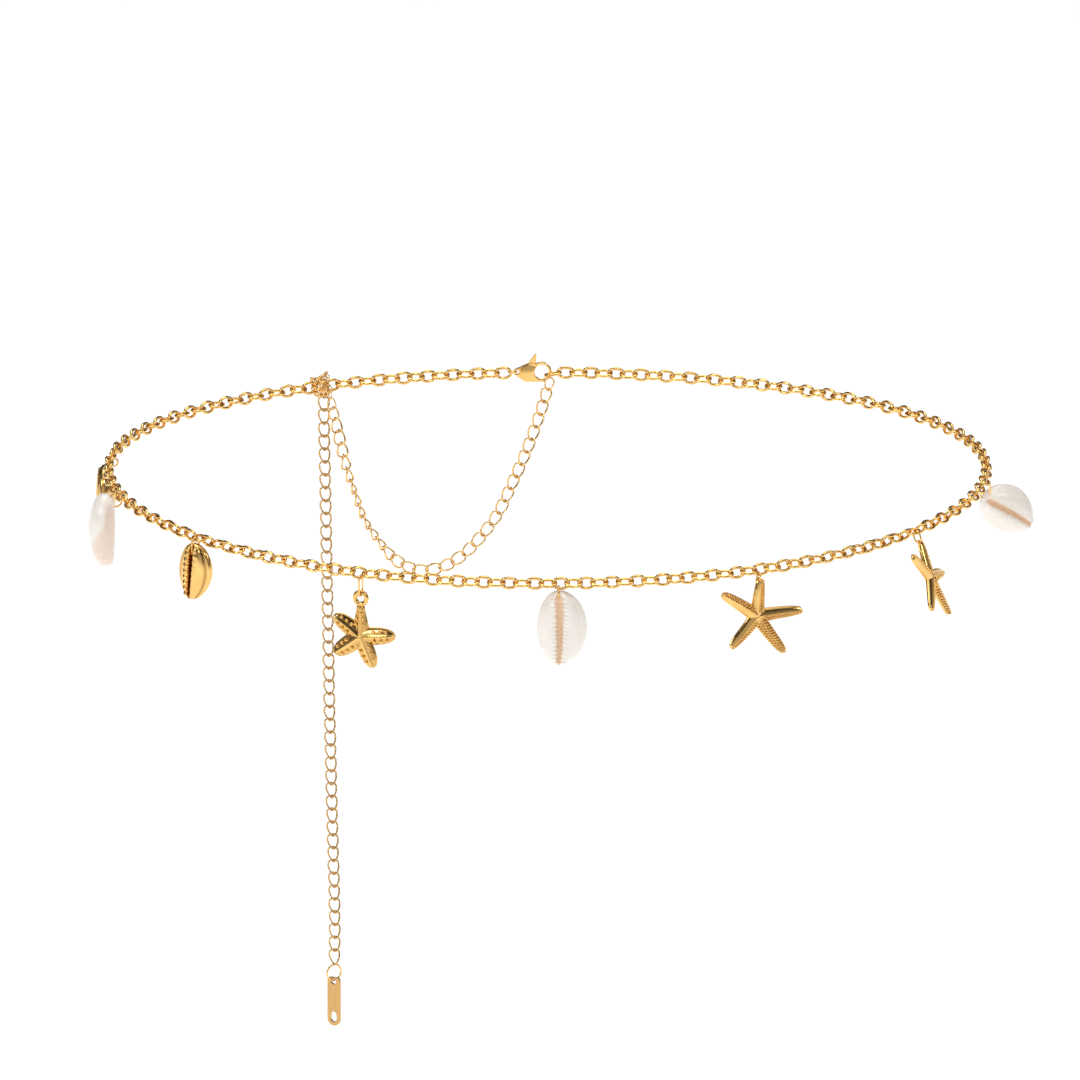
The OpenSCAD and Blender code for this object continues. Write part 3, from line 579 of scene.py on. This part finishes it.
def cowrie(bm, form, length, width, thick, slit, tooth, teeth, tint):
    """A cowrie from a ball: narrow foot, domed back, flat base with a toothed slit. Its top is the origin."""
    bmesh.ops.create_uvsphere(bm, u_segments=112, v_segments=220, radius=1)
    # inner marks the slit, and the groove round a cast cowrie's base: cast gold paints shade there, white
    # shells take their peach inside colour
    inner = bm.verts.layers.float.new("inner")
    blush = bm.verts.layers.float.new("blush")
    base, dome = BASE_SHARE * thick, (1 - BASE_SHARE) * thick
    for vert in bm.verts:
        x, y, z = vert.co
        s = (1 - z) / 2
        egg = math.sqrt(max(4 * s * (1 - s), 0))
        low = max((s - FOOT_AT) / (1 - FOOT_AT), 0) ** 1.5
        w = width * egg * (1 - form["narrow"] * low)
        up = egg * (1 - FOOT_DROP * low)
        phi = math.atan2(y, x)
        if phi >= 0:
            vert.co = (BACK_SHIFT * w + w / 2 * math.cos(phi), up * dome * math.sin(phi), -s * length)
            vert[blush] = tint * smooth_step(-0.05, 0.08, s - 0.34 - 0.4 * math.sin(phi))
            continue
        q = (phi + math.pi / 2) / (math.pi / 2)
        # The power gathers the ball's lines at the slit
        across = math.copysign(abs(q) ** 1.4, q)
        lateral = across * (LEFT_SHARE if across < 0 else 1 - LEFT_SHARE) * w
        off = abs(lateral)
        flat = (1 - abs(across) ** 2.4) ** 0.62
        run = plateau(SLIT_RUN, s)
        beat = math.cos(2 * math.pi * teeth * s)
        toothed = run * (1 if lateral < 0 else form["smooth_lip"])
        open_half = slit * (SLIT_TOP - SLIT_TAPER * s)
        half = open_half - form["bite"] * open_half * toothed * beat
        groove = math.exp(-(off / max(half, 0.05)) ** 4)
        rim = run * math.exp(-((abs(across) - RIM_AT) / RIM_WIDTH) ** 2)
        lip_start, lip_end = form["lip"]
        lip = smooth_step(half * 0.6, half * 1.2, off)
        lip *= 1 - smooth_step(open_half + lip_start, open_half + lip_end, off)
        deep = -base * flat * up ** form["ends"]
        deep += run * groove * form["groove"] * thick * up
        deep -= toothed * lip * tooth * (0.5 + beat)
        deep += form["rim"] * rim
        deep -= form["swell"] * run * math.sin(math.pi * min(abs(across) / RIM_AT, 1))
        curve = BASE_CURVE * math.sin(math.pi * s) * (1 - abs(across))
        vert.co = (lateral + curve, deep, -s * length)
        # Painted shade in the slit and the base's groove on cast gold; the peach slit colour on white shells
        vert[inner] = min(run * groove * 1.1 + form["rim_shade"] * rim, 1)
        vert[blush] = max(run * math.exp(-(off / (half * 1.3)) ** 4), tint * smooth_step(0.02, 0.3, s))
    bmesh.ops.recalc_face_normals(bm, faces=bm.faces)


def arm_frame(star, arm, u):
    """Middle of a starfish's arm at share u, and the way across it, seen from the front."""
    angle, share, bend = arm
    a = math.radians(angle)
    along, side = Vector((math.cos(a), math.sin(a))), Vector((-math.sin(a), math.cos(a)))
    middle = star["reach"] * share * (u * along + bend * u * u * side)
    return middle, (side - 2 * bend * u * along).normalized()


def flank_height(star, high, across):
    """How far an arm's flank stands out in front, without the rib."""
    edge, crest = EDGE_SHARE * star["thick"], CREST_SHARE * star["thick"]
    roof = (1 - abs(across) ** star["fullness"]) ** 0.8
    return edge + (crest * high - edge) * roof - star["rib"]


def flank_painted_shade(star, flank, across):
    """Painted shade across an arm, which leaves the rib, beads and grains lighter: beside the rib, or on the
    flank that has grains.
    """
    if star is BEADED:
        return 0.4 * smooth_step(0.1, 0.3, abs(across))
    return 0.85 * smooth_step(-0.1, 0.15, flank * across if flank else 0.8)


def starfish_arm(bm, star, arm, rows, flank):
    """One arm from a ball: a roof with a raised rib down its middle and a flat back."""
    made = bmesh.ops.create_uvsphere(bm, u_segments=40, v_segments=40, radius=1)["verts"]
    inner = bm.verts.layers.float["inner"]
    half_w, back = star["arm_w"] / 2, BACK_SHARE * star["thick"]
    for vert in made:
        x, y, z = vert.co
        s = (1 - z) / 2
        u = -0.1 + 1.1 * s
        wide, high = row_at(rows, max(u, 0))
        close = math.sqrt(min(s / 0.1, 1)) * math.sqrt(min((1 - s) / 0.035, 1))
        middle, side = arm_frame(star, arm, u)
        phi = math.atan2(y, x)
        across = math.cos(phi)
        if phi >= 0:
            rib = math.exp(-(across * half_w * wide / RIB_WIDTH) ** 2)
            depth = -(flank_height(star, high, across) + star["rib"] * rib) * close
            # Painted shade on the flanks; the beads and grains, made later, stay unshaded
            vert[inner] = (flank_painted_shade(star, flank, across) * smooth_step(0.03, 0.2, u)
                           * smooth_step(0.0, 0.1, 1 - abs(across)))
        else:
            depth = back * high * abs(math.sin(phi)) ** 0.5 * close
        flat = middle + side * across * half_w * wide * close
        vert.co = (flat.x, depth, flat.y)


def dot(bm, star, arm, rows, u, across, radius, rounds):
    """A round bead set in an arm's flank."""
    wide, high = row_at(rows, u)
    middle, side = arm_frame(star, arm, u)
    flat = middle + side * across * star["arm_w"] / 2 * wide
    depth = -flank_height(star, high, across) - radius * 0.35
    bmesh.ops.create_icosphere(bm, subdivisions=rounds, radius=radius,
                               matrix=Matrix.Translation((flat.x, depth, flat.y)))


def set_beads(bm, star, arm, rows, bead):
    """Three beads on each flank of a beaded arm, smaller towards its tip."""
    for u in BEADS_ALONG:
        for across in BEADS_ACROSS:
            dot(bm, star, arm, rows, u, across, bead * (1.2 - 0.45 * u), 3)


def set_grains(bm, star, arm, rows, flank, grain):
    """Rows of grains on a slender arm, every other row half a step on."""
    lines = [flank * line for line in FLANK_LINES] if flank else BOTH_LINES
    for k in range(GRAINS):
        u = GRAIN_FIRST + GRAIN_STEP * k
        for j, across in enumerate(lines):
            dot(bm, star, arm, rows, u + GRAIN_STEP / 2 * (j % 2), across, grain * (1.15 - 0.35 * u), 2)


class WAISTCHAIN_OT_metal(bpy.types.Operator):
    """Gives the main chain, clasp, rings and tag their gold"""
    bl_idname = "waist_chain.metal"
    bl_label = "Metal"

    def execute(self, context):
        gold, satin = polished_gold(context.scene.waist_chain_colours), satin_gold()
        for name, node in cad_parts.items():
            for material_slot in node.material_slots:
                material_slot.material = satin if name == "tag_plate" else gold
        return {"FINISHED"}


class WAISTCHAIN_OT_shells(bpy.types.Operator):
    """Models the white and the gold cowries"""
    bl_idname = "waist_chain.shells"
    bl_label = "Cowries"

    def execute(self, context):
        sizes, colours = context.scene.waist_chain_sizes, context.scene.waist_chain_colours
        white = material_named("Cowrie shell", shell_finish, colours.shell, colours.peach)
        looks = {True: (CAST, cast_gold(colours), "polished_gold"), False: (NATURAL, white, "shell")}
        for name, (length, width, thick, out, up, teeth, slit, tint) in SHELLS.items():
            form, material, slot = looks[name.startswith("gold")]
            tooth = sizes.tooth_height / MM * form["teeth"]
            bm = bmesh.new()
            cowrie(bm, form, length, width, thick, slit, tooth, teeth, tint)
            bmesh.ops.transform(bm, matrix=charm_place(name, out, up), verts=bm.verts)
            finished(name + "_shell", bm, material, "chain", name)
        return {"FINISHED"}


class WAISTCHAIN_OT_starfish(bpy.types.Operator):
    """Models the beaded and the slender starfish with their eyes"""
    bl_idname = "waist_chain.starfish"
    bl_label = "Starfish"

    def execute(self, context):
        sizes, colours = context.scene.waist_chain_sizes, context.scene.waist_chain_colours
        gold = cast_gold(colours)
        for name, star in STARS.items():
            bm = bmesh.new()
            # inner holds the painted shade of the arms' flanks
            bm.verts.layers.float.new("inner")
            for number, (arm, flank) in enumerate(zip(star["arms"], GRAINED_FLANKS)):
                rows = star["rows" if number else "top_rows"]
                starfish_arm(bm, star, arm, rows, flank)
                if star is BEADED:
                    set_beads(bm, star, arm, rows, sizes.bead_radius / MM)
                else:
                    set_grains(bm, star, arm, rows, flank, sizes.grain_radius / MM)
            bmesh.ops.translate(bm, vec=(0, 0, -star["drop"]), verts=bm.verts)
            wire_ring(bm, *star["ring"])
            bmesh.ops.recalc_face_normals(bm, faces=bm.faces)
            eye_r, eye_wire = star["eye"]
            place = charm_place(name, 0, RING_WIRE / 2 + HANG_GAP - eye_r + eye_wire / 2)
            bmesh.ops.transform(bm, verts=bm.verts, matrix=place)
            finished(name + "_star", bm, gold, "chain", name)
        return {"FINISHED"}


def fine_link(length, width, wire, twist):
    """One link of the extender as a mesh: an oval wire, twisted from end to end, X along it."""
    bm = bmesh.new()
    verts = wire_ring(bm, (width - wire) / 2, wire, steps=16, sides=6)
    bmesh.ops.rotate(bm, cent=(0, 0, 0), matrix=Matrix.Rotation(math.pi / 2, 3, "X"), verts=verts)
    for vert in bm.verts:
        if abs(vert.co.x) > 0.001:
            vert.co.x += math.copysign((length - width) / 2, vert.co.x)
        vert.co = Matrix.Rotation(twist * vert.co.x / length, 3, "X") @ vert.co
    bmesh.ops.recalc_face_normals(bm, faces=bm.faces)
    return mesh_from(bm, "fine_link")


def oval_link(length, width, wire):
    """One link of the main chain as a mesh: a full oval wire, X along it, flat in XZ."""
    bm = bmesh.new()
    radius = (width - wire) / 2
    wire_ring(bm, radius, wire, steps=18, sides=6)
    for vert in bm.verts:
        middle = Vector((vert.co.x, 0, vert.co.z)).normalized() * radius
        reach = (length - wire) / 2 * math.copysign(abs(middle.x / radius) ** 0.93, middle.x)
        vert.co.x += reach - middle.x
    bmesh.ops.recalc_face_normals(bm, faces=bm.faces)
    return mesh_from(bm, "oval_link")


def add_link(bm, link, place):
    """Adds a copy of a link's mesh at a place."""
    first = len(bm.verts)
    bm.from_mesh(link)
    bm.verts.ensure_lookup_table()
    bmesh.ops.transform(bm, matrix=place, verts=bm.verts[first:])


def domed(bm, x, y, z, reach_x, reach_z, sink):
    """Crowns the two faces of a flat piece about a middle, and thins them towards their edges."""
    for vert in bm.verts:
        away = math.hypot((vert.co.x - x * MM) / (reach_x * MM), (vert.co.z - z * MM) / (reach_z * MM))
        if away < DOME_END:
            vert.co.y = y * MM + (vert.co.y - y * MM) * (1 + sink * (DOME_CROWN - min(away, 1.0) ** 2))


def rounded_copy(node, grain, rounds, material, body, dome=None):
    """A copy of a node with its edges worn round: merged, remeshed fine and smoothed."""
    name = node + "_round"
    bm = bmesh.new()
    bm.from_mesh(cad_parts[node].data)
    bmesh.ops.remove_doubles(bm, verts=bm.verts, dist=1e-7)
    draft = linked(name, mesh_from(bm, name))
    remesh = draft.modifiers.new("fine", "REMESH")
    remesh.mode = "VOXEL"
    remesh.voxel_size = grain * MM
    smooth = draft.modifiers.new("worn", "SMOOTH")
    smooth.factor, smooth.iterations = 0.5, rounds
    worn = bpy.data.meshes.new_from_object(draft.evaluated_get(bpy.context.evaluated_depsgraph_get()))
    bpy.data.objects.remove(draft)
    bm = bmesh.new()
    bm.from_mesh(worn)
    if dome:
        domed(bm, *dome)
    finished(name, bm, material, body, node, scale=1.0)


def smooth_route(route):
    """A smooth line through a route's points, in many short steps."""
    points = [Vector(p) for p in route]
    line = []
    for i in range(len(points) - 1):
        a, b = points[i], points[i + 1]
        before = points[i - 1] if i else a * 2 - b
        after = points[i + 2] if i + 2 < len(points) else b * 2 - a
        for k in range(ROUTE_PARTS):
            t = k / ROUTE_PARTS
            line.append(0.5 * (2 * a + (b - before) * t + (2 * before - 5 * a + 4 * b - after) * t * t
                               + (3 * a - before - 3 * b + after) * t ** 3))
    line.append(points[-1])
    return line


def lay_links(bm, link, line, pitch, roll, hub=None, low_roll=0):
    """Lays links along a line, each scaled by the share of a link's size there; flat round a hub if given."""
    lengths = [0.0]
    for a, b in zip(line, line[1:]):
        lengths.append(lengths[-1] + (b.xyz - a.xyz).length)

    def at(d):
        d = min(max(d, 0), lengths[-1])
        k = max(i for i in range(len(lengths) - 1) if lengths[i] <= d)
        w = (d - lengths[k]) / max(lengths[k + 1] - lengths[k], 1e-6)
        return line[k] + (line[k + 1] - line[k]) * min(w, 1)

    d, spots = 0.0, []
    while d < lengths[-1]:
        size = at(d + pitch * at(d).w / 2).w
        spots.append((d + pitch * size / 2, size))
        d += pitch * size
    stretch = lengths[-1] / d
    for i, (d, size) in enumerate(spots):
        d *= stretch
        here = at(d).xyz
        along = (at(d + pitch * size / 2).xyz - at(d - pitch * size / 2).xyz).normalized()
        facing = Vector((0, -1, 0.18)) if hub is None else here - hub
        facing = (facing - along * facing.dot(along)).normalized()
        lie = Matrix((along, facing.cross(along), facing)).transposed().to_4x4()
        crowded = size < CROWD_BELOW
        turn = math.degrees(roll) + ROLL_PLAY * math.sin(2.4 * i)
        if crowded:
            turn += (WINDING_TURN if hub else CROWD_TURN) * (i % 2)
        turn += low_roll * plateau(SWAG_LOW, i / len(spots))
        grown = size * (CROWD_GROWTH if crowded else 1.0)
        add_link(bm, link, Matrix.Translation(here) @ lie @ turned(x=turn)
                 @ Matrix.Diagonal((grown, grown, grown, 1)))


def winding():
    """The turns that the extender takes round the main chain where it is thrown over, and their middle."""
    here = around(LINK_T[LINK_STEPS] - WINDING_AT)
    along = (around(LINK_T[LINK_STEPS] - WINDING_AT + 0.5) - here).normalized()
    out = Vector((0, 0, 1)).cross(along).normalized()
    line = []
    for k in range(WINDING_PLACES):
        a = math.radians(WINDING_FROM + WINDING_STEP * k)
        place = (here + along * (WINDING_ALONG + WINDING_ADVANCE * k) + out * WINDING_OUT * math.cos(a)
                 + Vector((0, 0, WINDING_UP * math.sin(a))))
        line.append((*place, WINDING_SIZE))
    return line, here


class WAISTCHAIN_OT_main_chain(bpy.types.Operator):
    """Links the main chain, each link at a right angle to the next"""
    bl_idname = "waist_chain.main_chain"
    bl_label = "Main chain"

    def execute(self, context):
        gold = polished_gold(context.scene.waist_chain_colours)
        link = oval_link(LINK_LEN + LINK_MORE_LEN, LINK_W + LINK_MORE_W, LINK_WIRE * LINK_MORE_WIRE)
        front = round(LINK_STEPS / 2)
        held = [charm_link(name) for name in CHARMS]
        for node, numbers in (("main_chain_right", range(front)),
                              ("main_chain_left", range(front, LINK_STEPS + 1))):
            bm = bmesh.new()
            for i in numbers:
                roll = link_roll(i)
                if i not in held:
                    roll += SIDE_ROLL * math.sin(math.radians(LINK_T[i])) ** 4
                add_link(bm, link, Matrix.Translation(around(LINK_T[i])) @ turned(z=link_turn(i))
                         @ turned(x=roll))
            finished(node + "_links", bm, gold, "chain", node)
        bpy.data.meshes.remove(link)
        return {"FINISHED"}


class WAISTCHAIN_OT_clasp(bpy.types.Operator):
    """Rounds the edges of the clasp, its lever and the tag"""
    bl_idname = "waist_chain.clasp"
    bl_label = "Clasp and tag"

    def execute(self, context):
        gold = polished_gold(context.scene.waist_chain_colours)
        rounded_copy("clasp_body", 0.09, 30, gold, "chain", CLASP_DOME)
        rounded_copy("clasp_lever", 0.06, 8, gold, "lever")
        rounded_copy("tag_plate", 0.09, 5, satin_gold(), "chain")
        return {"FINISHED"}


class WAISTCHAIN_OT_extender(bpy.types.Operator):
    """Links the fine extender chain, from the clasp over the loop down to the tag"""
    bl_idname = "waist_chain.extender"
    bl_label = "Extender"

    def execute(self, context):
        sizes, colours = context.scene.waist_chain_sizes, context.scene.waist_chain_colours
        length, width, wire = sizes.fine_len / MM, sizes.fine_width / MM, sizes.fine_wire / MM
        pitch = length - 2 * wire - FINE_GAP
        link = fine_link(length, width, wire, sizes.fine_twist)
        stout_link = fine_link(length, width, wire * WINDING_WIRE, sizes.fine_twist)

        bm = bmesh.new()
        lay_links(bm, link, smooth_route(SWAG_ROUTE), pitch, sizes.fine_roll, low_roll=SWAG_ROLL)
        turns, hub = winding()
        lay_links(bm, stout_link, smooth_route(turns), pitch, 0, hub)
        finished("extender_swag_links", bm, polished_gold(colours), "chain", "extender_swag")

        bm = bmesh.new()
        lay_links(bm, link, smooth_route(DROP_ROUTE), pitch, sizes.fine_roll)
        # The drop takes a darker copy of the swag's gold: painted shade
        finished("extender_drop_links", bm, shaded_fine_gold(colours), "chain", "extender_drop")
        for mesh in (link, stout_link):
            bpy.data.meshes.remove(mesh)
        return {"FINISHED"}


def add_camera():
    """The camera at the photograph's angle."""
    away = Vector(CAMERA_AWAY)
    data = bpy.data.cameras.new("camera")
    data.sensor_width = 36
    data.lens = CAMERA_LENS
    data.clip_end = 100
    camera = linked("camera", data)
    camera.location = Vector(CAMERA_AIM) + away * CAMERA_FAR
    camera.rotation_euler = (-away).to_track_quat("-Z", "Y").to_euler()
    bpy.context.scene.camera = camera


def add_floor():
    """A wide sheet of white paper under the object, a little lit by itself."""
    bm = bmesh.new()
    bmesh.ops.create_grid(bm, x_segments=8, y_segments=8, size=FLOOR_SIZE,
                          matrix=Matrix.Translation((0, 0, FLOOR_Z)))
    floor = linked("floor", mesh_from(bm, "floor"))
    paper, shader, nodes, links = new_material("White paper")
    tone = blended(nodes, links, noise(nodes, links, 3, 2), PAPER, PAPER_CLOUD)
    links.new(tone, shader.inputs["Base Color"])
    shader.inputs["Roughness"].default_value = 0.9
    shader.inputs["Specular IOR Level"].default_value = 0.0
    shader.inputs["Emission Color"].default_value = (1, 1, 1, 1)
    shader.inputs["Emission Strength"].default_value = FLOOR_GLOW
    floor.data.materials.append(paper)


def add_lights():
    """Four soft square lights, turned to the object."""
    for name, (place, size, power) in LIGHTS.items():
        lamp = bpy.data.lights.new(name, "AREA")
        lamp.shape = "SQUARE"
        lamp.size = size
        lamp.energy = power
        light = linked(name, lamp)
        light.location = place
        light.rotation_euler = (Vector(LIGHTS_AIM) - Vector(place)).to_track_quat("-Z", "Y").to_euler()


def add_studio():
    """A grey studio with dark bands, which polished gold reflects, and an even grey in front."""
    world = bpy.data.worlds.new("Studio")
    bpy.context.scene.world = world
    world.use_nodes = True
    nodes, links = world.node_tree.nodes, world.node_tree.links
    direction = nodes.new("ShaderNodeTexCoord")
    axes = nodes.new("ShaderNodeSeparateXYZ")
    links.new(direction.outputs["Generated"], axes.inputs["Vector"])
    ramp = nodes.new("ShaderNodeValToRGB")
    links.new(spread(nodes, links, axes.outputs["Z"], 0, 1, -1, 1), ramp.inputs["Fac"])
    for end in ramp.color_ramp.elements:
        end.color = (STUDIO_ENDS, STUDIO_ENDS, STUDIO_ENDS, 1)
    for spot, grey in STUDIO_GREYS:
        ramp.color_ramp.elements.new(spot).color = (grey, grey, grey, 1)
    front = spread(nodes, links, axes.outputs["Y"], 0, 1, *STUDIO_FRONT_Y)
    glow = blended(nodes, links, front, ramp.outputs["Color"], (STUDIO_FRONT,) * 3)
    links.new(glow, nodes["Background"].inputs["Color"])
    nodes["Background"].inputs["Strength"].default_value = 1.0


class WAISTCHAIN_OT_stage(bpy.types.Operator):
    """Sets the camera, the white floor and the soft lights"""
    bl_idname = "waist_chain.stage"
    bl_label = "Stage"

    def execute(self, context):
        add_camera()
        add_floor()
        add_lights()
        add_studio()
        context.scene.view_settings.view_transform = "Standard"
        return {"FINISHED"}


class WAISTCHAIN_PT_panel(bpy.types.Panel):
    """Waist chain pieces, sizes and colours"""
    bl_idname = "WAISTCHAIN_PT_panel"
    bl_label = "Waist Chain"
    bl_space_type = "VIEW_3D"
    bl_region_type = "UI"
    bl_category = "Waist Chain"

    def draw(self, context):
        column = self.layout.column()
        for group in (context.scene.waist_chain_sizes, context.scene.waist_chain_colours):
            for name in group.__annotations__:
                column.prop(group, name)
        for operator in OPERATORS:
            column.operator(operator.bl_idname)


OPERATORS = (WAISTCHAIN_OT_stage, WAISTCHAIN_OT_metal, WAISTCHAIN_OT_main_chain, WAISTCHAIN_OT_clasp,
             WAISTCHAIN_OT_extender, WAISTCHAIN_OT_shells, WAISTCHAIN_OT_starfish)
CLASSES = (WaistChainSizes, WaistChainColours, *OPERATORS, WAISTCHAIN_PT_panel)


def register():
    for cls in CLASSES:
        bpy.utils.register_class(cls)
    bpy.types.Scene.waist_chain_sizes = PointerProperty(type=WaistChainSizes)
    bpy.types.Scene.waist_chain_colours = PointerProperty(type=WaistChainColours)


def unregister():
    del bpy.types.Scene.waist_chain_colours
    del bpy.types.Scene.waist_chain_sizes
    for cls in reversed(CLASSES):
        bpy.utils.unregister_class(cls)


def main():
    """Makes every piece."""
    register()
    bpy.ops.waist_chain.stage()
    bpy.ops.waist_chain.metal()
    bpy.ops.waist_chain.main_chain()
    bpy.ops.waist_chain.clasp()
    bpy.ops.waist_chain.extender()
    bpy.ops.waist_chain.shells()
    bpy.ops.waist_chain.starfish()


if __name__ == "__main__":
    main()
